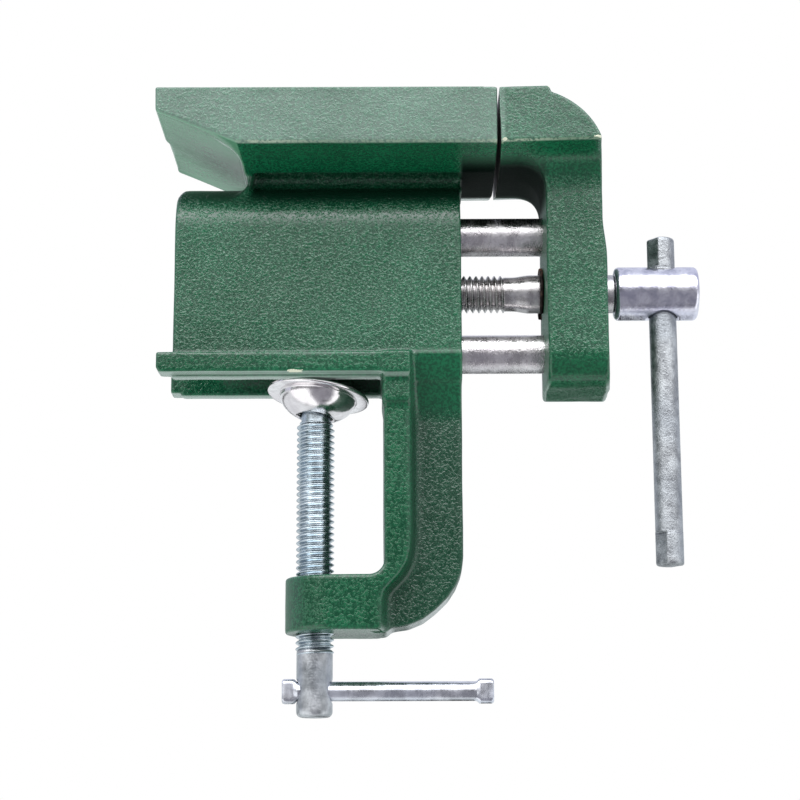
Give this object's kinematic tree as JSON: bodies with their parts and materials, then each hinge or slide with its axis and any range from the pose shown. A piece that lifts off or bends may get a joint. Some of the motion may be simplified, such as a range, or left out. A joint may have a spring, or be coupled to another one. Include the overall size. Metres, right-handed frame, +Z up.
{
  "type": "clamp-on table vise",
  "caption": "Green clamp-on table vise with an anvil top, guide rods, a lead screw with a sliding T-bar, and a C-frame table clamp with a swivel pad.",
  "frame": {"origin": "on the clamp screw's axis, in the plane of the two seat rails that rest on the table", "axes": "+Z up, out of the anvil top; +X from the fixed body towards the moving jaw and the T-bar; +Y across the jaws, towards the side with the rod pins' holes"},
  "size_m": [0.168, 0.06, 0.19],
  "materials": {
    "green_hammertone": "hammertone enamel over rough sand casting, worn bright on edges",
    "rod_steel": "drawn bright steel with fine scratches along it",
    "screw_steel": "cut thread, lightly oiled and worn",
    "barrel_chrome": "turned and plated, fine grain round it",
    "bar_zinc": "dull galvanised",
    "screw_zinc": "bluish zinc plate",
    "pad_nickel": "polished pressing",
    "rusty_steel": "brown surface rust",
    "plain_steel": "plain machined"
  },
  "bodies": {
    "fixed_body": {"fixed_body": "green_hammertone", "lead_nut": "plain_steel"},
    "moving_jaw": {"moving_jaw": "green_hammertone", "guide_rod_upper": "rod_steel", "guide_rod_lower": "rod_steel", "rod_pin_upper": "plain_steel", "rod_pin_lower": "plain_steel"},
    "lead_screw": {"lead_screw": "screw_steel", "screw_head": "barrel_chrome", "head_pin": "plain_steel", "retaining_ring": "rusty_steel"},
    "screw_handle": {"screw_handle": "bar_zinc"},
    "clamp_swivel": {"pad_retainer": "plain_steel"},
    "clamp_screw": {"clamp_screw": "screw_zinc"},
    "clamp_handle": {"clamp_handle": "screw_zinc"},
    "clamp_pad": {"clamp_pad": "pad_nickel"}
  },
  "joints": [
    {"name": "jaw_slide", "type": "slide", "parent": "fixed_body", "child": "moving_jaw", "axis": [1, 0, 0], "range_m": [-0.00065, 0.0413]},
    {"name": "lead_screw_turn", "type": "hinge", "parent": "moving_jaw", "child": "lead_screw", "pos_m": [0, 0, 0.0289], "axis": [1, 0, 0], "range_deg": [-124, 7826]},
    {"name": "screw_handle_slide", "type": "slide", "parent": "lead_screw", "child": "screw_handle", "axis": [0, 0, 1], "range_m": [0, 0.0675]},
    {"name": "clamp_travel", "type": "slide", "parent": "fixed_body", "child": "clamp_swivel", "axis": [0, 0, 1], "range_m": [-0.0476, 0.0002]},
    {"name": "clamp_screw_turn", "type": "hinge", "parent": "clamp_swivel", "child": "clamp_screw", "pos_m": [0, 0, 0], "axis": [0, 0, 1], "range_deg": [-9000, 36]},
    {"name": "clamp_handle_slide", "type": "slide", "parent": "clamp_screw", "child": "clamp_handle", "axis": [1, 0, 0], "range_m": [-0.0436, 0]},
    {"name": "clamp_pad_tilt", "type": "hinge", "parent": "clamp_swivel", "child": "clamp_pad", "pos_m": [0, 0, -0.00825], "axis": [0, 1, 0], "range_deg": [-15, 0]}
  ],
  "couplings": [
    {"joint": "lead_screw_turn", "follows": "jaw_slide", "rad_per_m": 3306.9},
    {"joint": "clamp_travel", "follows": "clamp_screw_turn", "m_per_rad": 0.00030239}
  ]
}
